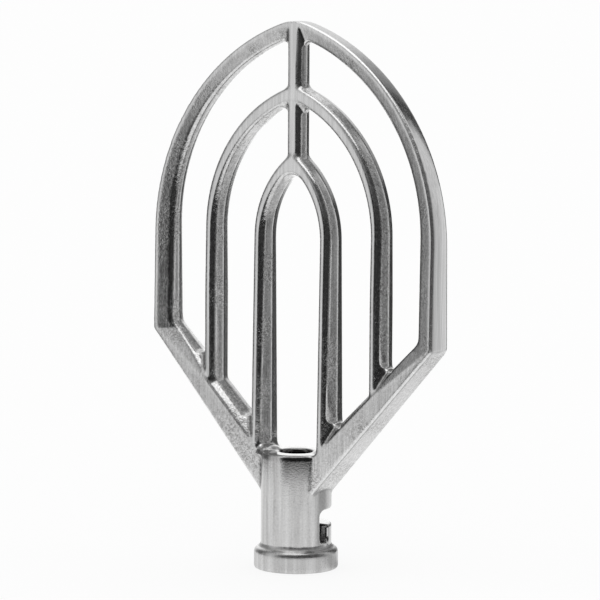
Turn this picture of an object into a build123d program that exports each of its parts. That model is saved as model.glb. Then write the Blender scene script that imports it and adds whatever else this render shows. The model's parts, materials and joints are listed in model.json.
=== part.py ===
# Flat beater for a planetary mixer, standing upside down on its hub collar.
# X runs across the blade, Y through it with the front at negative Y, and Z up along the hub axis.

import os
from math import hypot, radians, sqrt, tan

from build123d import *

# Blade outline
overall_height = 330.0
blade_width = 205.0
arch_radius = 135.0
tip_radius = 30.0
corner_height = 139.2
corner_radius = 2.5
arm_root_height = 49.7

# Frame, measured on the parting plane
bar_thickness = 13.0
crown_thickness = 9.6
inner_spring_lift = 3.0
arm_thickness = 13.4
arm_widening = 0.13
inner_corner_radius = 6.0

# Ribs, with spans between the centres of their legs
rib_width = 10.8
rib_land_width = 3.4
spine_width = 12.2
spine_land_width = 6.2
hoop_span = 121.6
hoop_spring_lift = 3.5
hoop_drop = 42.7
loop_span = 48.4
loop_spring_drop = 0.5
loop_drop = 83.0

# Depth of the casting, each side of the parting plane
tip_half_depth = 5.9
corner_half_depth = 9.75
hoop_half_depth = 9.2
spine_half_depth = 6.4
draft_angle = 14.0
shoulder_angle = 42.0
land_width = 2.0
bevel_depth = 5.2
bar_bevel_angle = 18.4
bar_shoulder_inset = 8.0
crown_shoulder_inset = 7.0
arm_bevel_angle = 28.0
loop_fade_height = 81.5

# Rounded corners of the windows
crotch_radius = 3.5
toe_radius = 3.5
loop_crown_radius = 8.0
hub_corner_radius = 7.0

# Hub
hub_diameter = 42.9
hub_height = 71.2
hub_rim_radius = 1.8
bore_diameter = 20.0
bore_chamfer = 0.8
collar_diameter = 51.0
collar_height = 13.2
collar_shoulder_radius = 3.2
collar_foot_radius = 0.8

# Bayonet slot for the drive pin
slot_width = 8.0
slot_run_width = 9.4
slot_pocket_depth = 10.1
slot_floor_wall = 4.2
slot_corner_radius = 1.0
slot_turn = 90.0

# Where the casting is divided into members
tip_half_span = 14.0
spine_root_margin = 0.5

# How far a cutter starts above the lands, and how far two shapes run into each other
cut_start = 0.5
roof_overlap = 0.5

# A quarter of a full turn, in degrees
quarter_turn = 90.0

# How closely a corner has to lie to the place it is looked for
match = 0.01


def arch_radius_of(half_span, rise):
    # The radius of each side of a pointed arch that starts upright.
    return (half_span ** 2 + rise ** 2) / (2 * half_span)


# Values worked out from the sizes above
half_width = blade_width / 2
hub_radius = hub_diameter / 2
bore_radius = bore_diameter / 2
collar_radius = collar_diameter / 2
tip_rise = sqrt((arch_radius - tip_radius) ** 2 - (arch_radius - half_width) ** 2)
spring_height = overall_height - tip_radius - tip_rise
arch_rise = sqrt(arch_radius ** 2 - (arch_radius - half_width) ** 2)
arm_slope = (corner_height - arm_root_height) / (half_width - hub_radius)
arm_stretch = hypot(1, arm_slope)
arm_foot = corner_height - half_width * arm_slope
inner_half_width = half_width - bar_thickness
inner_spring = spring_height + inner_spring_lift
inner_rise = overall_height - crown_thickness - inner_spring
inner_arm_slope = arm_slope - arm_widening
inner_corner_height = corner_height - bar_thickness * arm_slope + arm_thickness * arm_stretch
inner_arm_foot = inner_corner_height - inner_half_width * inner_arm_slope
depth_slope = (corner_half_depth - tip_half_depth) / (overall_height - corner_height)
foot_half_depth = corner_half_depth + depth_slope * corner_height
root_half_depth = foot_half_depth - depth_slope * arm_root_height
draft_slope = tan(radians(draft_angle))
draft_spread = root_half_depth * draft_slope
shoulder_slope = tan(radians(shoulder_angle))
half_rib = rib_width / 2
half_crest = half_rib - draft_spread
half_land = rib_land_width / 2
half_spine = spine_width / 2
half_spine_crest = half_spine - draft_spread
half_spine_land = spine_land_width / 2
hoop_offset = hoop_span / 2
hoop_spring = spring_height + hoop_spring_lift
hoop_rise = overall_height - hoop_drop - hoop_spring
hoop_fade_height = min((foot_half_depth - hoop_half_depth) / depth_slope, hoop_spring)
hoop_arc_depth = min(hoop_half_depth, foot_half_depth - depth_slope * hoop_spring)
loop_offset = loop_span / 2
loop_spring = spring_height - loop_spring_drop
loop_rise = overall_height - loop_drop - loop_spring
loop_side = loop_offset - half_crest
loop_radius = arch_radius_of(loop_offset, loop_rise) - half_crest
loop_centre = loop_side - loop_radius
loop_crown_mouth = loop_crown_radius + draft_spread
loop_crown_lift = sqrt((loop_radius - loop_crown_mouth) ** 2 - loop_centre ** 2)
loop_crown_height = loop_spring + loop_crown_lift
sill = hub_height - hub_rim_radius - draft_spread
loop_spring_depth = foot_half_depth - depth_slope * loop_spring
loop_crown_land = loop_crown_radius + half_rib - half_land
loop_crown_floor = loop_crown_land - bevel_depth * shoulder_slope
land_corner_offset = half_width - land_width
land_corner_height = arm_foot + land_width * arm_stretch + land_corner_offset * arm_slope
arm_land_slope = (land_corner_height - loop_fade_height) / (land_corner_offset - loop_offset)
arm_land_foot = loop_fade_height - loop_offset * arm_land_slope
inner_radius = arch_radius_of(inner_half_width, inner_rise)
inner_centre = inner_half_width - inner_radius
crotch_offset = half_spine + crotch_radius - inner_centre
crotch_reach = inner_centre + crotch_offset * inner_radius / (inner_radius - crotch_radius)
spine_half_span = crotch_reach + spine_root_margin
slot_floor = collar_height + slot_floor_wall
slot_run_floor = slot_floor + slot_pocket_depth
slot_top = slot_run_floor + slot_run_width
reach = blade_width
ceiling = overall_height + tip_radius


def polygon(*points):
    return make_face(Polyline(*points, close=True))


def arch_face(half_span, spring, rise, shift):
    # A pointed arch on two uprights, with its edge moved outwards by an even shift.
    radius = arch_radius_of(half_span, rise)
    point = spring + sqrt((radius + shift) ** 2 - (radius - half_span) ** 2)
    side = half_span + shift
    right = TangentArc((side, spring), (0, point), tangent=(0, 1))
    left = TangentArc((-side, spring), (0, point), tangent=(0, 1))
    uprights = Polyline((side, spring), (side, 0), (-side, 0), (-side, spring))
    return make_face(Curve() + [right, left, uprights])


def vee_face(foot, slope):
    # Everything above the two arm lines that meet at the given height on the centre line.
    edge = foot + reach * slope
    top = edge + ceiling
    return polygon((0, foot), (reach, edge), (reach, top), (-reach, top), (-reach, edge))


def highest(face):
    return face.vertices().sort_by(Axis.Y)[-1]


def lowest_pair(face):
    return face.vertices().sort_by(Axis.Y)[:2]


def corners_at(face, height):
    return [v for v in face.vertices() if abs(v.Y - height) < match]


def corners_beside_spine(face):
    return [v for v in face.vertices() if abs(abs(v.X) - half_spine_crest) < match]


def inner_contour(spread):
    # The inner edge of the frame, moved outwards by the given spread.
    foot = inner_arm_foot - spread * hypot(1, inner_arm_slope)
    face = arch_face(inner_half_width, inner_spring, inner_rise, spread)
    face = face & vee_face(foot, inner_arm_slope)
    bend = foot + (inner_half_width + spread) * inner_arm_slope
    return fillet(corners_at(face, bend), inner_corner_radius + spread)


def both_faces(half):
    return half + mirror(half, about=Plane.XY)


def mirrored(shape):
    return mirror(shape, about=Plane.YZ)


def drafted_half(mouth):
    # One half of a window cutter, which is narrowest on the parting plane.
    return extrude(Pos(0, 0, -root_half_depth) * mouth, amount=root_half_depth, taper=draft_angle)


def standing_cone(foot_radius, top_radius, height):
    return Cone(foot_radius, top_radius, height, align=(Align.CENTER, Align.CENTER, Align.MIN))


def drafted_disc(x, y, radius):
    # A round cutter with the same draft, given by its radius at the mouth.
    return Pos(x, y, -root_half_depth) * standing_cone(radius, radius - draft_spread, root_half_depth)


def roof_section(centre, land):
    # The land of a rib and its two shoulders, drawn downwards from the land.
    foot = land + root_half_depth * shoulder_slope
    return polygon(
        (centre - land, 0),
        (centre + land, 0),
        (centre + foot, root_half_depth),
        (centre - foot, root_half_depth),
    )


def leg_roof(plane, centre, land, start, end):
    # The land and shoulders of a straight rib on the given plane.
    section = roof_section(centre, land)
    return plane * extrude(Plane.XZ.offset(-start) * section, amount=start - end)


def arc_roof(plane, half_span, spring, rise, land):
    # The land and shoulders of the curved right half of a rib.
    radius = arch_radius_of(half_span, rise)
    ring = revolve(Plane.XZ * roof_section(radius, land), axis=Axis.Z, revolution_arc=quarter_turn)
    right_half = full_depth(rectangle(0, 0, reach, ceiling))
    return plane * Pos(half_span - radius, spring) * ring & right_half


def full_depth(face):
    return extrude(face, amount=foot_half_depth, both=True)


def rectangle(left, bottom, right, top):
    return polygon((left, bottom), (right, bottom), (right, top), (left, top))


def stand_up(shape):
    # The blade is drawn lying flat, so its height is turned from Y to Z.
    return Rot(quarter_turn, 0, 0) * shape


def upright_cylinder(radius, height):
    return Cylinder(radius, height, align=(Align.CENTER, Align.CENTER, Align.MIN))


# Blade outline and the slab between its two sloping faces
outline = arch_face(half_width, spring_height, arch_rise, 0) & vee_face(arm_foot, arm_slope)
outline = fillet(highest(outline), tip_radius)
outline = fillet(corners_at(outline, corner_height), corner_radius)
top_half_depth = foot_half_depth - depth_slope * ceiling
wedge_side = polygon(
    (0, -foot_half_depth),
    (ceiling, -top_half_depth),
    (ceiling, top_half_depth),
    (0, foot_half_depth),
)
wedge = extrude(Plane.YZ * wedge_side, amount=reach, both=True)
slab = full_depth(outline) & wedge

# Windows between the ribs, drawn at their mouths
spine_strip = rectangle(-half_spine_crest, 0, half_spine_crest, ceiling)
hoop_outside = arch_face(hoop_offset, hoop_spring, hoop_rise, half_crest)
hoop_inside = arch_face(hoop_offset, hoop_spring, hoop_rise, -half_crest)
loop_outside = arch_face(loop_offset, loop_spring, loop_rise, half_crest)
inner_mouth = inner_contour(draft_spread)
outer_windows = inner_mouth - hoop_outside - spine_strip
outer_windows = fillet(corners_beside_spine(outer_windows), crotch_radius + draft_spread)
outer_windows = fillet(lowest_pair(outer_windows), toe_radius + draft_spread)
middle_windows = (hoop_inside & inner_mouth) - loop_outside - spine_strip
middle_windows = fillet(corners_beside_spine(middle_windows), crotch_radius + draft_spread)
middle_toes = [v for v in middle_windows.vertices() if v.Y < corner_height]
middle_windows = fillet(middle_toes, toe_radius + draft_spread)

# Inner window: a straight well above the hub, and a dome with a rounded crown where the loop curves
below_spring = full_depth(rectangle(-reach, 0, reach, loop_spring))
well_mouth = rectangle(-loop_side, sill, loop_side, ceiling)
well_mouth = fillet(lowest_pair(well_mouth), hub_corner_radius + draft_spread)
well = drafted_half(well_mouth) & below_spring
loop_curve = drafted_disc(loop_centre, loop_spring, loop_radius)
sector_top = loop_crown_height + loop_crown_lift
crown_sector = polygon((0, loop_crown_height), (-loop_centre, sector_top), (loop_centre, sector_top))
crown = drafted_disc(0, loop_crown_height, loop_crown_mouth) & full_depth(crown_sector)
dome = (loop_curve & mirrored(loop_curve)) - below_spring - full_depth(crown_sector)
inner_window = well + dome + crown
windows = both_faces(drafted_half(outer_windows) + drafted_half(middle_windows) + inner_window)

# Cutters for the bevels and shoulders of the frame, drawn on a plane just above its lands
land_plane = Plane(origin=(0, 0, -foot_half_depth), x_dir=(1, 0, 0), z_dir=(0, -depth_slope, 1))
cut_plane = land_plane.offset(-cut_start)
cut_depth = bevel_depth + cut_start
bar_edge = land_width - cut_start / tan(radians(bar_bevel_angle))
land_arch = arch_face(half_width, spring_height, arch_rise, -bar_edge)
land_arch = fillet(highest(land_arch), tip_radius - bar_edge)
bar_bevel = extrude(cut_plane * land_arch, amount=cut_depth, taper=quarter_turn - bar_bevel_angle)
arm_edge = cut_start / tan(radians(arm_bevel_angle))
land_vee = vee_face(arm_land_foot - arm_edge * hypot(1, arm_land_slope), arm_land_slope)
arm_bevel = extrude(cut_plane * land_vee, amount=cut_depth, taper=quarter_turn - arm_bevel_angle)
shoulder_start = cut_start * shoulder_slope
mouth_half_width = half_width - bar_shoulder_inset + shoulder_start
mouth_reach = mouth_half_width - inner_half_width
mouth_rise = overall_height - crown_shoulder_inset + shoulder_start - inner_spring
mouth_foot = inner_arm_foot - mouth_reach * hypot(1, inner_arm_slope)
frame_mouth = arch_face(mouth_half_width, inner_spring, mouth_rise, 0)
frame_mouth = frame_mouth & vee_face(mouth_foot, inner_arm_slope)
mouth_bend = mouth_foot + mouth_half_width * inner_arm_slope
frame_mouth = fillet(corners_at(frame_mouth, mouth_bend), inner_corner_radius + mouth_reach)
frame_shoulder = extrude(cut_plane * frame_mouth, amount=cut_depth, taper=shoulder_angle)

# Lands and shoulders of the ribs, which stand proud of those cuts
hoop_plane = Plane.XY.offset(-hoop_half_depth)
spine_plane = Plane.XY.offset(-spine_half_depth)
loop_arc_plane = Plane.XY.offset(-loop_spring_depth)
hoop_arc_plane = Plane.XY.offset(-hoop_arc_depth)
raised_land = half_land - shoulder_start
hoop_top = hoop_spring + roof_overlap
hoop_lower_leg = leg_roof(hoop_plane, hoop_offset, half_land, 0, hoop_fade_height)
hoop_upper_leg = leg_roof(cut_plane, hoop_offset, raised_land, hoop_fade_height - roof_overlap, hoop_top)
hoop_arc = arc_roof(hoop_arc_plane, hoop_offset, hoop_spring, hoop_rise, half_land)
loop_leg = leg_roof(cut_plane, loop_offset, raised_land, 0, loop_spring + roof_overlap)
loop_arc = arc_roof(loop_arc_plane, loop_offset, loop_spring, loop_rise, half_land)
spine_roof = leg_roof(spine_plane, 0, half_spine_land, loop_spring, ceiling)
crown_cap = crown_sector & arch_face(loop_offset, loop_spring, loop_rise, 0)
crown_cone = standing_cone(loop_crown_land, loop_crown_floor, bevel_depth)
crown_roof = full_depth(crown_cap) - loop_arc_plane * Pos(0, loop_crown_height) * crown_cone
rib_roofs = [hoop_lower_leg, hoop_upper_leg, hoop_arc, loop_leg, loop_arc, spine_roof, crown_roof]


def clear_of_ribs(cutter):
    # What a cutter takes from both faces of the blade once the ribs are left standing.
    for roof in rib_roofs:
        cutter = cutter - roof - mirrored(roof)
    return both_faces(cutter)


bevels = clear_of_ribs(bar_bevel & arm_bevel)
shoulders = clear_of_ribs(frame_shoulder)

# Frame and rib network, stood up and cut clear of the barrel
barrel_blank = Pos(0, 0, collar_height) * upright_cylinder(hub_radius, hub_height - collar_height)
barrel_blank = fillet(barrel_blank.edges().sort_by(Axis.Z)[-1], hub_rim_radius)
inner_prism = full_depth(inner_contour(0))
frame = stand_up(slab - inner_prism - windows - bevels - shoulders) - barrel_blank
network = stand_up((slab & inner_prism) - windows - bevels - shoulders) - barrel_blank

# Members of the frame, with the arm and the side bar mitred at the corner
miter_slope = (corner_height - inner_corner_height) / bar_thickness
miter_inside = inner_half_width - bar_thickness
miter_high = inner_corner_height - bar_thickness * miter_slope
miter_low = corner_height + (reach - half_width) * miter_slope
tip_region = rectangle(-tip_half_span, spring_height, tip_half_span, ceiling)
arch_region = rectangle(tip_half_span, spring_height, reach, ceiling)
bar_region = polygon(
    (miter_inside, spring_height),
    (miter_inside, miter_high),
    (reach, miter_low),
    (reach, spring_height),
)
arm_region = polygon((0, 0), (reach, 0), (reach, miter_low), (miter_inside, miter_high), (0, miter_high))
tip = frame & stand_up(full_depth(tip_region))
arch_right = frame & stand_up(full_depth(arch_region))
bar_right = frame & stand_up(full_depth(bar_region))
arm_right = frame & stand_up(full_depth(arm_region))

# Members of the rib network, with the hoop parted from the loop by an arch between them
divide_offset = (hoop_offset + loop_offset) / 2
divide_rise = overall_height - (hoop_drop + loop_drop) / 2 - spring_height
divide = stand_up(full_depth(arch_face(divide_offset, spring_height, divide_rise, 0)))
spine_region = rectangle(-spine_half_span, spring_height, spine_half_span, ceiling)
right_region = rectangle(0, 0, reach, ceiling) - spine_region
spine = network & stand_up(full_depth(spine_region))
ribs_right = network & stand_up(full_depth(right_region))
hoop_right = ribs_right - divide
loop_right = ribs_right & divide

# Barrel with its through bore and bayonet slot
bore = upright_cylinder(bore_radius, ceiling)
bore_mouth = standing_cone(bore_radius + bore_chamfer, bore_radius, bore_chamfer)
back_mouth = Pos(0, 0, hub_height) * mirror(bore_mouth, about=Plane.XY)
pocket_length = slot_top - slot_floor
half_slot = slot_width / 2
round_end = SlotOverall(pocket_length, slot_width, rotation=quarter_turn)
round_end = Pos(0, slot_floor + pocket_length / 2) * round_end
flat_floor = rectangle(-half_slot, slot_floor, half_slot, slot_run_floor)
flat_floor = fillet(lowest_pair(flat_floor), slot_corner_radius)
pocket_section = round_end + flat_floor
pocket = extrude(Plane.YZ * pocket_section, amount=collar_radius)
run_section = rectangle(0, slot_run_floor, collar_radius, slot_top)
run = revolve(Plane.XZ * run_section, axis=Axis.Z, revolution_arc=slot_turn)
entry = Box(collar_radius, slot_width, slot_top, align=(Align.MIN, Align.CENTER, Align.MIN))
entry = Rot(0, 0, slot_turn) * entry
hub_barrel = barrel_blank - bore - back_mouth - pocket - run - entry

# Collar with the keyway that lets the drive pin in
collar_rounding = min(collar_shoulder_radius, collar_radius - hub_radius)
collar_blank = upright_cylinder(collar_radius, collar_height)
collar_blank = fillet(collar_blank.edges().sort_by(Axis.Z)[-1], collar_rounding)
collar_blank = fillet(collar_blank.edges().sort_by(Axis.Z)[0], collar_foot_radius)
keyway = entry & upright_cylinder(hub_radius, ceiling)
hub_collar = collar_blank - bore - bore_mouth - keyway

nodes = {
    "hub_collar": hub_collar,
    "hub_barrel": hub_barrel,
    "arm_right": arm_right,
    "arm_left": mirrored(arm_right),
    "bar_right": bar_right,
    "bar_left": mirrored(bar_right),
    "arch_right": arch_right,
    "arch_left": mirrored(arch_right),
    "tip": tip,
    "spine": spine,
    "hoop_right": hoop_right,
    "hoop_left": mirrored(hoop_right),
    "loop_right": loop_right,
    "loop_left": mirrored(loop_right),
}

os.makedirs("parts", exist_ok=True)
for name, shape in nodes.items():
    export_step(shape, f"parts/{name}.step")
    print(name, len(shape.solids()), "solid of", round(shape.volume), "mm3")
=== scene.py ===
# %% [markdown]
# # A cast flat beater, in Blender
# The beater stands upside down on its hub collar. Its exact solids come from the CAD model, so everything is in
# metres in the CAD frame: X across the blade, Y through it with the front at negative Y, Z up the hub. The CAD
# shapes are sharp and clean. A real casting is soft in its corners, ground on its faces and grainy where no
# tool reached it, and that is what this lesson adds.

# %% Load the solids and keep their box
import json
import math

import bpy
import numpy as np
from mathutils import Euler, Matrix, Vector
from mathutils.bvhtree import BVHTree

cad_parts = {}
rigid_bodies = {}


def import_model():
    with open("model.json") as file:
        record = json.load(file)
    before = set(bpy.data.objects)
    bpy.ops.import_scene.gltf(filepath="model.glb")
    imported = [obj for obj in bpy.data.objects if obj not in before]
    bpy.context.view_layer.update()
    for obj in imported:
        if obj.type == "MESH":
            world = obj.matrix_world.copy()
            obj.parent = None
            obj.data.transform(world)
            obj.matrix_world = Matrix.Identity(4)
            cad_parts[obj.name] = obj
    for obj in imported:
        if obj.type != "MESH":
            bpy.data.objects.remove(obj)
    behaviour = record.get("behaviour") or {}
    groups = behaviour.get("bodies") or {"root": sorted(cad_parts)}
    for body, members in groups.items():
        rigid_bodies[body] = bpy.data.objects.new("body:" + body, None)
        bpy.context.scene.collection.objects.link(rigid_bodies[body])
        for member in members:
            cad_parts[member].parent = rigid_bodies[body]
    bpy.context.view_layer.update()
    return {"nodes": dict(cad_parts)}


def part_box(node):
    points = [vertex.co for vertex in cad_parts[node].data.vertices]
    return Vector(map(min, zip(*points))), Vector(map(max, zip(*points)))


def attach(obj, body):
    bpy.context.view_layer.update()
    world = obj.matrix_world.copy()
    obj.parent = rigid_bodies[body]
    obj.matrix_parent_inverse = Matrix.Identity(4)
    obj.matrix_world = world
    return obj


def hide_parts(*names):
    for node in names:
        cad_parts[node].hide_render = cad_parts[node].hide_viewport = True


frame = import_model()
nodes = frame["nodes"]
scene = bpy.context.scene

# %% [markdown]
# ## Camera
# The photograph was taken from the front right, a little above the middle of the blade, from about two
# metres. A long lens keeps the uprights nearly parallel. The camera's axes are set directly, because its tiny
# roll is easier to see as a turned up-axis than as three angles.

# %% Camera
turn = math.radians(35.571)
tilt = math.radians(6.342)
roll = math.radians(0.341)
distance = 2.0046
aim_height = 0.16274
slide = 0.00153
focal_length = 200.094
film_width = 36.0
sight_limit = 200.0

backward = Vector((math.sin(turn) * math.cos(tilt), -math.cos(turn) * math.cos(tilt), math.sin(tilt)))
level = Vector((math.cos(turn), math.sin(turn), 0.0))
upward = backward.cross(level)
camera_x = level * math.cos(roll) + upward * math.sin(roll)
camera_y = upward * math.cos(roll) - level * math.sin(roll)
place = Vector((0.0, 0.0, aim_height)) + backward * distance + level * slide

bpy.ops.object.select_all(action="DESELECT")
bpy.ops.object.camera_add()
camera = bpy.context.object
camera.name = "camera"
camera.data.sensor_width = film_width
camera.data.lens = focal_length
camera.data.clip_end = sight_limit
axes = Matrix((camera_x, camera_y, backward)).transposed()
camera.matrix_world = Matrix.Translation(place) @ axes.to_4x4()
scene.camera = camera
print("camera at", [round(value, 3) for value in place])

# %% [markdown]
# ## Pouring the casting
# Bars, ribs and hub are one pour of aluminium, so their corners run into each other with small fillets. The
# solids are copied and joined first, and a voxel remesh melts them into one even skin later. Bevels along every
# edge would be the other way, but hundreds of short edges meet where the ribs cross, and bevels break there.

# %% Join copies of the solids
casting_members = sorted(nodes)
touching = 0.000005
bpy.ops.object.select_all(action="DESELECT")
for name in casting_members:
    nodes[name].select_set(True)
bpy.context.view_layer.objects.active = nodes["hub_barrel"]
bpy.ops.object.duplicate()
bpy.ops.object.parent_clear(type="CLEAR_KEEP_TRANSFORM")
bpy.ops.object.join()
casting = bpy.context.object
casting.name = "casting"
for key in [key for key in casting.keys() if key.startswith("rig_")]:
    del casting[key]
casting.data.materials.clear()
bpy.ops.object.mode_set(mode="EDIT")
bpy.ops.mesh.select_all(action="SELECT")
bpy.ops.mesh.remove_doubles(threshold=touching)
bpy.ops.object.mode_set(mode="OBJECT")
print("joined skin:", len(casting.data.polygons), "faces")

# %% [markdown]
# ## Feet of the inner loops
# Where the two inner ribs land on the hub, the metal flares out over the rim in a rounded foot. A squashed
# ball at each foot, joined before the remesh, gives that flare: the fillets melt it into rib and hub.

# %% Add the two feet
foot_size = (0.0066, 0.0092, 0.0050)
foot_places = ((-0.0170, -0.0046, 0.0692), (0.0170, 0.0046, 0.0692))
for foot_place in foot_places:
    bpy.ops.object.select_all(action="DESELECT")
    bpy.ops.mesh.primitive_uv_sphere_add(segments=48, ring_count=24, radius=1.0, location=foot_place)
    foot = bpy.context.object
    foot.scale = foot_size
    bpy.ops.object.transform_apply(location=True, rotation=False, scale=True)
    casting.select_set(True)
    bpy.context.view_layer.objects.active = casting
    bpy.ops.object.join()
print("skin with feet:", len(casting.data.polygons), "faces")

# %% [markdown]
# ## Fillets and rounded edges
# Swelling a skin and shrinking it back by the same amount fills every inner corner with a fillet of that
# radius. Shrinking it and swelling it back rounds every outer edge. Both together give the look of a pattern
# that was filled with wax and then rubbed by hand. The skin leans across the voxel grid meanwhile, so that no
# long edge runs along the grid and shows its steps, and a light smoothing takes out what is left of them.

# %% Helpers that work on the whole skin
voxel_size = 0.00052


def finish_with(kind, **settings):
    # A modifier of this kind is added to the active piece and applied.
    modifier = bpy.context.object.modifiers.new(kind.lower(), kind)
    for setting, value in settings.items():
        setattr(modifier, setting, value)
    bpy.ops.object.modifier_apply(modifier=modifier.name)


def remesh():
    finish_with("REMESH", mode="VOXEL", voxel_size=voxel_size, adaptivity=0.0)


def swell(amount):
    finish_with("DISPLACE", direction="NORMAL", mid_level=0.0, strength=amount)


def smooth(rounds):
    finish_with("SMOOTH", factor=0.5, iterations=rounds)


def lean(turn_matrix):
    casting.matrix_world = turn_matrix
    bpy.ops.object.transform_apply(location=False, rotation=True, scale=False)


print("voxels of", voxel_size * 1000, "mm")

# %% Swell, shrink and smooth
fillet_radius = 0.0014
edge_radius = 0.0003
across_grid = Euler((0.35, 0.27, 0.41)).to_matrix().to_4x4()
lean(across_grid)
remesh()
smooth(3)
swell(fillet_radius)
remesh()
swell(-fillet_radius - edge_radius)
remesh()
smooth(7)
swell(edge_radius)
smooth(5)
lean(across_grid.inverted())
bpy.ops.object.shade_smooth()
print("cast skin:", len(casting.data.polygons), "faces")

# %% [markdown]
# ## Rolled back edge
# The outer face of the bars and arches was dressed on a belt, and it rolls over towards the back edge. A
# weight is painted on that strip by its place, and a displacement presses it in by a little over half a
# millimetre.

# %% Helpers that read the skin
half_width = 0.1025
corner_height = 0.136
corner_fade = 0.003
arch_foot = 0.2
arch_radius = 0.135
strip_depth = 0.0035
strip_fade = 0.001


def read_points(collection, key, width, kind=float):
    values = np.empty(len(collection) * width, dtype=kind)
    collection.foreach_get(key, values)
    return values.reshape(-1, width)


def ramp_up(values):
    return np.clip(values, 0.0, 1.0)


def outer_strip(points):
    # 1 on the outer face of the bars and arches, falling to 0 a few millimetres further in.
    across = np.abs(points[:, 0])
    height = points[:, 2]
    from_centre = np.hypot(across + arch_radius - half_width, height - arch_foot)
    past_rim = np.where(height > arch_foot, from_centre - arch_radius, across - half_width)
    return ramp_up((past_rim + strip_depth) / strip_fade) * ramp_up((height - corner_height) / corner_fade)


print("the strip is", strip_depth * 1000, "mm deep")

# %% Roll the back edge
roll_depth = 0.0006
roll_start = -0.001
roll_reach = 0.010
weight_steps = 200
skin_points = read_points(casting.data.vertices, "co", 3)
roll_share = outer_strip(skin_points) * ramp_up((skin_points[:, 1] - roll_start) / roll_reach) ** 2
weights = np.round(roll_share * weight_steps).astype(int)
rolled = casting.vertex_groups.new(name="rolled_edge")
for weight in range(1, weight_steps + 1):
    rolled.add(np.flatnonzero(weights == weight).tolist(), weight / weight_steps, "REPLACE")
finish_with("DISPLACE", direction="NORMAL", mid_level=0.0, strength=-roll_depth, vertex_group="rolled_edge")
casting.vertex_groups.clear()
print("points in the rolled edge:", int((weights > 0).sum()))

# %% [markdown]
# ## Reading the skin
# The hollows of the casting are made darker, and its edges are rubbed bright. Both can be read from
# the skin itself: where the neighbours of a point stand above its surface there is a hollow, and where they lie
# below it there is an edge. The sum over the neighbours is the only sum that this needs, and softening a
# reading is the same sum once more.

# %% Read the hollows and edges
soft_rounds = 4
mesh = casting.data
point_count = len(mesh.vertices)
skin_points = read_points(mesh.vertices, "co", 3)
outward = read_points(mesh.vertex_normals, "vector", 3)
first, second = read_points(mesh.edges, "vertices", 2, int).T
steps = skin_points[second] - skin_points[first]
steps /= np.linalg.norm(steps, axis=1)[:, None]
valence = np.bincount(first, minlength=point_count) + np.bincount(second, minlength=point_count)


def sum_over_neighbours(on_first, on_second):
    return np.bincount(first, on_first, point_count) + np.bincount(second, on_second, point_count)


def soften(reading):
    for _ in range(soft_rounds):
        reading = 0.5 * reading + 0.5 * sum_over_neighbours(reading[second], reading[first]) / valence
    return reading


rise_first = (steps * outward[first]).sum(axis=1)
rise_second = -(steps * outward[second]).sum(axis=1)
hollow = soften(sum_over_neighbours(rise_first, rise_second) / valence)
print("hollow runs from", round(float(hollow.min()), 3), "to", round(float(hollow.max()), 3))

# %% [markdown]
# ## Ground faces
# The lands, the narrow flats on the front and back, are ground, and so is the outer face of the bars and
# arches. A land is where the surface looks straight forward or back. The arms are left out by a line that
# follows their slope, because their broad faces are rough. Both readings are stored on the points, so that the
# finishes can use them later. The skin's own normals are stored beside them, a little softened.

# %% Read the ground faces and store everything
land_start = 0.965
land_fade = 0.025
side_start = 0.5
side_fade = 0.2
arm_height = 0.0436
arm_slope = 0.9743
arm_fade = 0.014
facing = np.abs(outward[:, 1])
above_arm = skin_points[:, 2] - arm_height - arm_slope * np.abs(skin_points[:, 0])
lands = ramp_up((facing - land_start) / land_fade) * ramp_up(above_arm / arm_fade)
outer_faces = outer_strip(skin_points) * ramp_up((side_start - facing) / side_fade)
ground = soften(np.maximum(lands, outer_faces))
for reading_name, reading in (("hollow", hollow), ("ground", ground)):
    stored = mesh.attributes.new(reading_name, "FLOAT", "POINT")
    stored.data.foreach_set("value", reading.astype(np.float32))
soft_normals = np.stack([soften(outward[:, axis]) for axis in range(3)], axis=1)
soft_normals /= np.linalg.norm(soft_normals, axis=1)[:, None]
stored = mesh.attributes.new("skin_normal", "FLOAT_VECTOR", "POINT")
stored.data.foreach_set("vector", soft_normals.astype(np.float32).ravel())
print("ground points:", int((ground > 0.5).sum()), "of", point_count)

# %% [markdown]
# ## Naming the members again
# The library keeps each bar and rib under its own name, so the skin is divided where the solids were. Every
# face goes to the solid that lies nearest. Where two are about as near, the one that comes first in the order
# of cutting gets it.

# %% Find the member of each face
depsgraph = bpy.context.evaluated_depsgraph_get()
near_enough = 0.0006
reach = 0.004
trees = {name: BVHTree.FromObject(nodes[name], depsgraph) for name in casting_members}
boxes = {name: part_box(name) for name in casting_members}
ribs = [name for name in casting_members if name.startswith(("hoop", "loop"))]
cut_order = ["hub_collar", "hub_barrel", "tip", "spine"] + ribs
cut_order += [name for name in casting_members if name not in cut_order]


def owner_of(point):
    distances = {}
    for name in cut_order:
        low, high = boxes[name]
        if all(low[i] - reach < point[i] < high[i] + reach for i in range(3)):
            distances[name] = trees[name].find_nearest(point)[3]
    closest = min(distances.values())
    return next(name for name in cut_order if distances.get(name, reach) <= closest + near_enough)


owners = np.array([casting_members.index(owner_of(face.center)) for face in casting.data.polygons])
print("faces of the hub barrel:", int((owners == casting_members.index("hub_barrel")).sum()))

# %% [markdown]
# ## Clean borders
# Some faces on a border stick out like teeth. Every face of the skin has four neighbours, and when three of
# them belong to another member, the face joins it. The owner is then written down as a material number,
# because Blender can separate a mesh by material.

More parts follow.
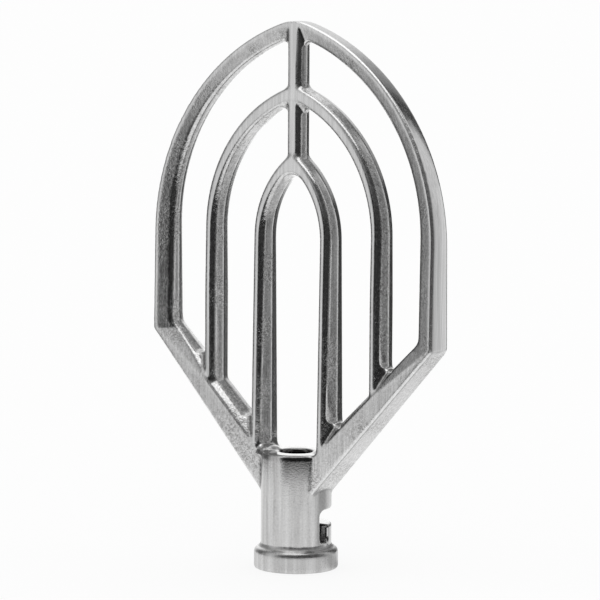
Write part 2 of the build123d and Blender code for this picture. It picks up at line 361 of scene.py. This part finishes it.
# %% Clean the borders
vote_rounds = 6
majority = 3
loop_edges = read_points(casting.data.loops, "edge_index", 1, int)[:, 0]
by_edge = np.argsort(loop_edges, kind="stable")
face_pairs = (by_edge // 4).reshape(-1, 2)
neighbours = np.empty(len(loop_edges), dtype=int)
neighbours[by_edge] = face_pairs[:, ::-1].ravel()
neighbours = neighbours.reshape(-1, 4)
every_face = np.arange(len(owners))
for _ in range(vote_rounds):
    around = owners[neighbours]
    votes = (around[:, :, None] == around[:, None, :]).sum(axis=2)
    favourite = votes.argmax(axis=1)
    outvoted = votes[every_face, favourite] >= majority
    owners = np.where(outvoted, around[every_face, favourite], owners)
for name in casting_members:
    casting.data.materials.append(bpy.data.materials.new("member_" + name))
casting.data.polygons.foreach_set("material_index", owners.astype(np.int32))
print("faces given to", len(np.unique(owners)), "members")

# %% [markdown]
# ## Separate members
# The skin falls apart into its members, and each piece takes the name of its solid.

# %% Separate and name
bpy.ops.object.select_all(action="DESELECT")
casting.select_set(True)
bpy.context.view_layer.objects.active = casting
bpy.ops.object.mode_set(mode="EDIT")
bpy.ops.mesh.separate(type="MATERIAL")
bpy.ops.object.mode_set(mode="OBJECT")
members = {}
for piece in list(bpy.context.selected_objects):
    name = piece.data.materials[0].name.removeprefix("member_")
    piece.name = name + "_cast"
    members[name] = piece
print("separated", len(members), "members")

# %% [markdown]
# ## Closing the cuts
# Each open end is closed with a cap inside the metal. A bar's cap is drawn to a point, and the hub's
# ring-shaped caps are inset, so that no part of a cap lies in the skin. The stored normals are put back, so
# that light runs over the cuts without a break. Every piece then rides on the one body and replaces its solid.

# %% Cap and hand over
cap_inset = 0.0008
for name, piece in members.items():
    bpy.ops.object.select_all(action="DESELECT")
    piece.select_set(True)
    bpy.context.view_layer.objects.active = piece
    bpy.ops.object.mode_set(mode="EDIT")
    bpy.ops.mesh.select_mode(type="EDGE")
    bpy.ops.mesh.select_all(action="DESELECT")
    bpy.ops.mesh.select_non_manifold(
        use_wire=False, use_multi_face=False, use_non_contiguous=False, use_verts=False
    )
    bpy.ops.mesh.fill_holes(sides=0)
    bpy.ops.mesh.select_mode(type="FACE")
    if name.startswith("hub"):
        bpy.ops.mesh.inset(thickness=cap_inset)
    else:
        bpy.ops.mesh.poke()
    bpy.ops.object.mode_set(mode="OBJECT")
    kept_normals = read_points(piece.data.attributes["skin_normal"].data, "vector", 3)
    piece.data.normals_split_custom_set_from_vertices(kept_normals)
    piece.data.attributes.remove(piece.data.attributes["skin_normal"])
    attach(piece, "root")
    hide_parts(name)
print("members:", {name: len(piece.data.polygons) for name, piece in sorted(members.items())})

# %% [markdown]
# ## Finishes
# Both finishes are bare aluminium, so the shader is a metal and the reflections do most of the work. A node
# tree is wired faster with a few short helpers: one that adds a node and fills its sockets, and one for each
# kind of node that comes back often.

# %% Helpers for the node trees
class Finish:
    """A metal finish that is built up node by node."""

    def __init__(self, name):
        self.material = bpy.data.materials.new(name)
        self.material.use_nodes = True
        self.tree = self.material.node_tree
        self.shader = self.tree.nodes["Principled BSDF"]
        self.shader.inputs["Metallic"].default_value = 1.0
        self.place = self.tree.nodes.new("ShaderNodeTexCoord").outputs["Object"]

    def node(self, kind, values=(), **settings):
        made = self.tree.nodes.new(kind)
        for setting, value in settings.items():
            setattr(made, setting, value)
        for socket, value in values:
            if isinstance(value, bpy.types.NodeSocket):
                self.tree.links.new(value, made.inputs[socket])
            else:
                made.inputs[socket].default_value = value
        return made

    def noise(self, scale, detail, roughness=0.5, stretch=(1.0, 1.0, 1.0)):
        mapping = self.node("ShaderNodeMapping", [("Vector", self.place), ("Scale", stretch)])
        values = [("Vector", mapping.outputs[0]), ("Scale", scale), ("Detail", detail)]
        return self.node("ShaderNodeTexNoise", values + [("Roughness", roughness)]).outputs["Fac"]

    def reading(self, name):
        return self.node("ShaderNodeAttribute", attribute_name=name).outputs["Fac"]

    def spread(self, value, low, high, start=0.0, end=1.0):
        values = [("Value", value), ("From Min", low), ("From Max", high), ("To Min", start), ("To Max", end)]
        return self.node("ShaderNodeMapRange", values, clamp=True).outputs[0]

    def blend(self, share, low, high):
        values = [("Factor", share), ("A", low), ("B", high)]
        return self.node("ShaderNodeMix", values, data_type="FLOAT").outputs[0]

    def tint(self, share, low, high):
        values = [(0, share), (6, low), (7, high)]
        return self.node("ShaderNodeMix", values, data_type="RGBA").outputs[2]

    def math(self, operation, first, second):
        return self.node("ShaderNodeMath", [(0, first), (1, second)], operation=operation).outputs[0]

    def bump(self, height, strength, distance):
        values = [("Height", height), ("Strength", strength), ("Distance", distance)]
        return self.node("ShaderNodeBump", values).outputs[0]

    def wire(self, colour, roughness, normal):
        self.tree.links.new(colour, self.shader.inputs["Base Color"])
        self.tree.links.new(roughness, self.shader.inputs["Roughness"])
        self.tree.links.new(normal, self.shader.inputs["Normal"])


def grey(value, warmth=0.0):
    return (value + warmth, value, value - warmth, 1.0)


print("helpers:", [name for name in vars(Finish) if not name.startswith("_")])

# %% [markdown]
# ## Cast aluminium
# What makes the blade look cast is its grain: tiny bumps about a millimetre apart that break every reflection
# into speckles. Some patches kept the skin of the sand mould, others were rubbed smooth. The hollows are made
# darker, the edges are rubbed bright, and the ground lands carry fine lengthwise lines. The heights of
# grain and lines both swing round zero, so that there is no step where a land begins.

# %% Cast aluminium for the blade
cast = Finish("cast_aluminium")
pits = cast.noise(1150.0, 2.0, 0.7)
mottle = cast.noise(520.0, 3.0, 0.65)
patches = cast.noise(42.0, 2.0)
lines = cast.noise(800.0, 2.0, 0.55, stretch=(1.0, 1.0, 0.03))
land = cast.reading("ground")
hollow_depth = cast.reading("hollow")
patch_range = (0.44, 0.6)
coarse = cast.spread(patches, *patch_range)
speckle = cast.spread(cast.blend(0.45, pits, mottle), 0.36, 0.62)
streak = cast.spread(lines, 0.32, 0.66)
rough_skin = cast.tint(speckle, grey(0.26, 0.003), grey(0.8))
smooth_skin = cast.tint(cast.blend(0.5, streak, speckle), grey(0.42, 0.002), grey(0.8))
body = cast.tint(coarse, smooth_skin, rough_skin)
face = cast.tint(streak, grey(0.62), grey(0.8))
metal_colour = cast.tint(land, body, face)
# The hollows are made darker, by the hollow reading.
hollow_darkening = cast.spread(hollow_depth, 0.012, 0.06, 0.0, 0.75)
metal_colour = cast.tint(hollow_darkening, metal_colour, grey(0.18, 0.004))
edge = cast.spread(hollow_depth, -0.03, -0.12)
metal_colour = cast.tint(cast.math("MULTIPLY", edge, 0.75), metal_colour, grey(0.93))
rough_wall = cast.spread(mottle, 0.3, 0.7, 0.1, 0.2)
rough_land = cast.spread(lines, 0.3, 0.7, 0.12, 0.2)
grain_swing = cast.math("SUBTRACT", cast.blend(0.5, pits, mottle), 0.5)
line_swing = cast.math("SUBTRACT", lines, 0.5)
grain_height = cast.math("MULTIPLY", grain_swing, cast.spread(patches, *patch_range, 0.25, 1.0))
height_wall = cast.math("ADD", grain_height, cast.math("MULTIPLY", line_swing, 0.06))
height_land = cast.math("MULTIPLY", line_swing, 0.07)
relief = cast.bump(cast.blend(land, height_wall, height_land), 0.5, 0.0005)
roughness = cast.blend(edge, cast.blend(land, rough_wall, rough_land), 0.45)
cast.wire(metal_colour, roughness, relief)
print("cast aluminium:", len(cast.tree.nodes), "nodes")

# %% [markdown]
# ## Machined aluminium
# The hub was turned on a lathe and rubbed along its length, so its streaks run up and down. Shade is painted
# into the seam between hub and arms and into the bore, and a painted dark reflection hangs below the rim.
# The collar has a softer, more satin surface than the barrel.

# %% Machined aluminium for the hub
turned = Finish("machined_aluminium")
drags = turned.noise(260.0, 3.0, 0.6, stretch=(1.0, 1.0, 0.05))
fine = turned.noise(1000.0, 3.0, 0.65)
clouds = turned.noise(70.0, 3.0)
level_only = (1.0, 1.0, 0.0)
# Side of the hub that carries the painted dark reflection below the rim.
painted_reflection_side = (0.582, -0.813, 0.0)
up_hub = turned.node("ShaderNodeSeparateXYZ", [(0, turned.place)]).outputs["Z"]
spoke = turned.node("ShaderNodeVectorMath", [(0, turned.place), (1, level_only)], operation="MULTIPLY")
spoke = spoke.outputs[0]
from_axis = turned.node("ShaderNodeVectorMath", [(0, spoke)], operation="LENGTH").outputs["Value"]
toward_painted_reflection = turned.node("ShaderNodeVectorMath", [(0, spoke), (1, painted_reflection_side)], operation="DOT_PRODUCT")
in_corner = turned.reading("hollow")
above_collar = turned.spread(up_hub, 0.03, 0.034)
# Painted shade in the seam between hub and arms, above the collar.
painted_seam_shade = turned.math("MULTIPLY", turned.spread(in_corner, 0.01, 0.045), above_collar)
hub_streak = turned.blend(0.35, turned.spread(drags, 0.34, 0.66), turned.spread(fine, 0.34, 0.66))
hub_colour = turned.tint(hub_streak, grey(0.38, 0.002), grey(0.68))
hub_colour = turned.tint(turned.spread(clouds, 0.4, 0.75, 0.0, 0.35), hub_colour, grey(0.6, 0.004))
# Painted dark reflection below the rim: a patch on that side, streaked downward.
painted_reflection_height = turned.math("ADD", up_hub, turned.math("MULTIPLY", drags, 0.022))
painted_reflection_fade = turned.spread(painted_reflection_height, 0.066, 0.082)
painted_reflection = turned.math("MULTIPLY", painted_reflection_fade, turned.spread(toward_painted_reflection.outputs["Value"], 0.0193, 0.0203))
hub_colour = turned.tint(turned.spread(painted_reflection, 0.0, 1.0, 0.0, 0.78), hub_colour, grey(0.12, 0.002))
# Mottled dark grey for the painted seam shade.
seam_shade_colour = turned.tint(turned.spread(fine, 0.4, 0.6), grey(0.05, 0.002), grey(0.5))
hub_colour = turned.tint(painted_seam_shade, hub_colour, seam_shade_colour)
# Painted shade inside the bore.
hub_colour = turned.tint(turned.spread(from_axis, 0.0112, 0.0102), hub_colour, grey(0.1, 0.002))
hub_rough = turned.spread(fine, 0.3, 0.7, 0.08, 0.14)
satin = turned.spread(fine, 0.3, 0.7, 0.26, 0.34)
hub_rough = turned.blend(turned.spread(up_hub, 0.0145, 0.0125), hub_rough, satin)
near_collar = turned.spread(up_hub, 0.03, 0.026)
collar_corner = turned.math("MULTIPLY", turned.spread(in_corner, 0.005, 0.03), near_collar)
hub_rough = turned.blend(collar_corner, hub_rough, 0.5)
hub_relief = turned.bump(turned.blend(0.5, fine, drags), 0.2, 0.0004)
turned.wire(hub_colour, hub_rough, hub_relief)
print("machined aluminium:", len(turned.tree.nodes), "nodes")

# %% [markdown]
# ## Dressing
# The hub's two members get the machined finish and all the others the cast one. The material numbers that
# marked the members have done their work and go.

# %% Dress the members
for name, piece in members.items():
    piece.data.materials.clear()
    piece.data.materials.append((turned if name.startswith("hub") else cast).material)
for marker in [material for material in bpy.data.materials if material.name.startswith("member_")]:
    bpy.data.materials.remove(marker)
print("dressed", len(members), "members")

# %% [markdown]
# ## Floor
# The beater stands on white paper that runs out of sight. The paper is lit like any matt sheet, so it takes
# the soft shadow at the collar. For the camera and for mirror reflections most of it glows, so that it reads as
# white all the way to the horizon.

# %% White paper
floor_size = 80.0
floor_glow = 0.84


def plain_sheet(name):
    # A new material with an empty node tree.
    sheet = bpy.data.materials.new(name)
    sheet.use_nodes = True
    sheet.node_tree.nodes.clear()
    return sheet, sheet.node_tree


def add_node(tree, kind, *links, **settings):
    made = tree.nodes.new(kind)
    for setting, value in settings.items():
        setattr(made, setting, value)
    for number, source in enumerate(links):
        tree.links.new(source, made.inputs[number])
    return made


bpy.ops.object.select_all(action="DESELECT")
bpy.ops.mesh.primitive_plane_add(size=floor_size, location=(0.0, 0.0, 0.0))
floor = bpy.context.object
floor.name = "studio_floor"
paper, tree = plain_sheet("white_paper")
path = add_node(tree, "ShaderNodeLightPath").outputs
seen = add_node(tree, "ShaderNodeMath", path["Is Camera Ray"], path["Is Glossy Ray"], operation="ADD")
seen = add_node(
    tree, "ShaderNodeMath", seen.outputs[0], path["Is Transmission Ray"], operation="ADD", use_clamp=True
)
glow_share = add_node(tree, "ShaderNodeMath", seen.outputs[0], operation="MULTIPLY")
glow_share.inputs[1].default_value = floor_glow
matt = add_node(tree, "ShaderNodeBsdfDiffuse")
matt.inputs["Color"].default_value = (0.9, 0.9, 0.9, 1.0)
glow = add_node(tree, "ShaderNodeEmission")
both = add_node(tree, "ShaderNodeMixShader", glow_share.outputs[0], matt.outputs[0], glow.outputs[0])
add_node(tree, "ShaderNodeOutputMaterial", both.outputs[0])
floor.data.materials.append(paper)
print("floor:", [round(side, 1) for side in floor.dimensions])

# %% [markdown]
# ## What the metal mirrors
# Bare metal has hardly a colour of its own: it shows the room. The studio of the photograph had white paper on
# some sides and dark space on others, so three rings of card stand round the table, one above the other, with
# a tone for each compass angle. The cards show in reflections only. They cast no shadow, give no light to matt
# surfaces and are never seen by the camera.

# %% Helpers for the cards
wall_radius = 0.41


def compass_paper(name, tones):
    # Tones are pairs of a compass angle and a brightness.
    sheet, tree = plain_sheet(name)
    place = add_node(tree, "ShaderNodeTexCoord").outputs["Object"]
    compass = add_node(tree, "ShaderNodeTexGradient", place, gradient_type="RADIAL")
    ramp = add_node(tree, "ShaderNodeValToRGB", compass.outputs["Fac"])
    stops = ramp.color_ramp.elements
    while len(stops) < len(tones):
        stops.new(0.5)
    for stop, (azimuth, tone) in zip(stops, tones):
        stop.position = azimuth / 360 + 0.5
        stop.color = grey(tone)
    glow = add_node(tree, "ShaderNodeEmission", ramp.outputs["Color"])
    add_node(tree, "ShaderNodeOutputMaterial", glow.outputs[0])
    return sheet


def hang_card(name, sheet):
    # The new sheet is named, coloured and made visible to reflections only.
    card = bpy.context.object
    card.name = name
    bpy.ops.object.transform_apply(location=True, rotation=False, scale=False)
    card.data.materials.append(sheet)
    card.visible_camera = False
    card.visible_diffuse = False
    card.visible_shadow = False


def ring_card(name, low, high, tones):
    bpy.ops.object.select_all(action="DESELECT")
    bpy.ops.mesh.primitive_cylinder_add(
        vertices=144,
        radius=wall_radius,
        depth=high - low,
        end_fill_type="NOTHING",
        location=(0.0, 0.0, (high + low) / 2),
    )
    hang_card(name, compass_paper(name + "_grey", tones))


def flat_card(name, centre, radius, height, sheet):
    bpy.ops.object.select_all(action="DESELECT")
    place = (*centre, height)
    bpy.ops.mesh.primitive_circle_add(vertices=72, radius=radius, fill_type="NGON", location=place)
    hang_card(name, sheet)


print("cards hang", wall_radius, "m from the beater")

# %% [markdown]
# ## Rings of card
# The tones were found one by one: a flat of the beater that is dark in the photograph mirrors a dark angle of
# the room, and a bright one mirrors paper. The low ring is what the arms and the hub mirror, the middle ring is
# for the bars and ribs, and the high ring is for the arches.

# %% Rings of card
low_tones = [
    (-180, 0.13), (-162, 0.14), (-155, 0.3), (-148, 0.48), (-138, 0.68), (-126, 0.72), (-118, 0.75),
    (-112, 0.75), (-107, 0.3), (-100, 0.1), (-90, 0.09), (-75, 0.03), (-60, 0.02), (-10, 0.02), (4, 0.05),
    (18, 0.13), (27, 0.22), (36, 0.36), (44, 0.6), (50, 0.85), (60, 0.85), (64, 0.05), (80, 0.05), (86, 0.1),
    (94, 0.18), (104, 0.6), (115, 1.3), (150, 1.3), (168, 0.3), (180, 0.13),
]
middle_tones = [
    (-180, 0.13), (-162, 0.14), (-155, 0.3), (-148, 0.48), (-138, 0.72), (-126, 0.78), (-118, 0.78),
    (-112, 0.7), (-107, 0.15), (-100, 0.025), (-85, 0.02), (-75, 0.03), (-60, 0.045), (-10, 0.045), (4, 0.08),
    (18, 0.18), (27, 0.3), (36, 0.42), (44, 0.6), (50, 0.85), (60, 0.85), (64, 0.05), (80, 0.05), (86, 0.1),
    (94, 0.18), (104, 0.6), (115, 1.3), (150, 1.3), (168, 0.3), (180, 0.13),
]
high_tones = [
    (-180, 0.25), (-150, 0.45), (-140, 0.7), (-126, 0.78), (-112, 0.75), (-104, 0.5), (-95, 0.35),
    (-80, 0.3), (-65, 0.14), (-50, 0.09), (-5, 0.09), (20, 0.2), (31, 0.32), (46, 0.7), (57, 0.8), (61, 0.06),
    (70, 0.05), (76, 0.25), (90, 0.4), (105, 0.8), (150, 0.9), (180, 0.25),
]
low_top = 0.1
middle_top = 0.3
room_height = 0.7
ring_card("low_wall", 0.0, low_top, low_tones)
ring_card("middle_wall", low_top, middle_top, middle_tones)
ring_card("high_wall", middle_top, room_height, high_tones)
print("tones on the rings:", len(low_tones), len(middle_tones), len(high_tones))

# %% [markdown]
# ## Ceiling and table
# Faces that look up mirror the ceiling, and one bright panel in it draws the white lines along the upper
# edges. The undersides of the arms mirror the table, which is a little darker towards the right and the back.

# %% Ceiling, panel and table
ceiling_tones = [
    (-180, 0.5), (-120, 0.5), (-30, 0.5), (10, 0.4), (35, 0.28), (65, 0.28), (80, 0.6), (95, 1.1), (150, 1.1),
    (180, 0.5),
]
table_tones = [(-180, 1.0), (0, 1.0), (12, 0.75), (24, 0.58), (50, 0.58), (62, 0.85), (75, 1.0), (180, 1.0)]
middle = (0.0, 0.0)
panel_place = (0.12, -0.16)
panel_radius = 0.33
panel_height = 0.69
panel_strength = 1.5
shade_height = 0.001
panel_glow, tree = plain_sheet("panel_glow")
lamp = add_node(tree, "ShaderNodeEmission")
lamp.inputs["Strength"].default_value = panel_strength
add_node(tree, "ShaderNodeOutputMaterial", lamp.outputs[0])
flat_card("ceiling", middle, wall_radius, room_height, compass_paper("ceiling_grey", ceiling_tones))
flat_card("overhead_panel", panel_place, panel_radius, panel_height, panel_glow)
flat_card("table_shade", middle, wall_radius, shade_height, compass_paper("table_grey", table_tones))

# %% [markdown]
# ## Light
# The light itself is as plain as can be: a white world at full strength, like a tent of white cloth. It gives
# the paper its soft shadow, and a surface renders about as bright as its colour says.

# %% White world
world = bpy.data.worlds.new("white_studio")
scene.world = world
world.use_nodes = True
world.node_tree.nodes["Background"].inputs["Color"].default_value = (1.0, 1.0, 1.0, 1.0)
world.node_tree.nodes["Background"].inputs["Strength"].default_value = 1.0
print("world:", world.name)

# %% [markdown]
# ## Finish
# The plain view transform keeps the greys as they were set.

# %% Finish
scene.view_settings.view_transform = "Standard"
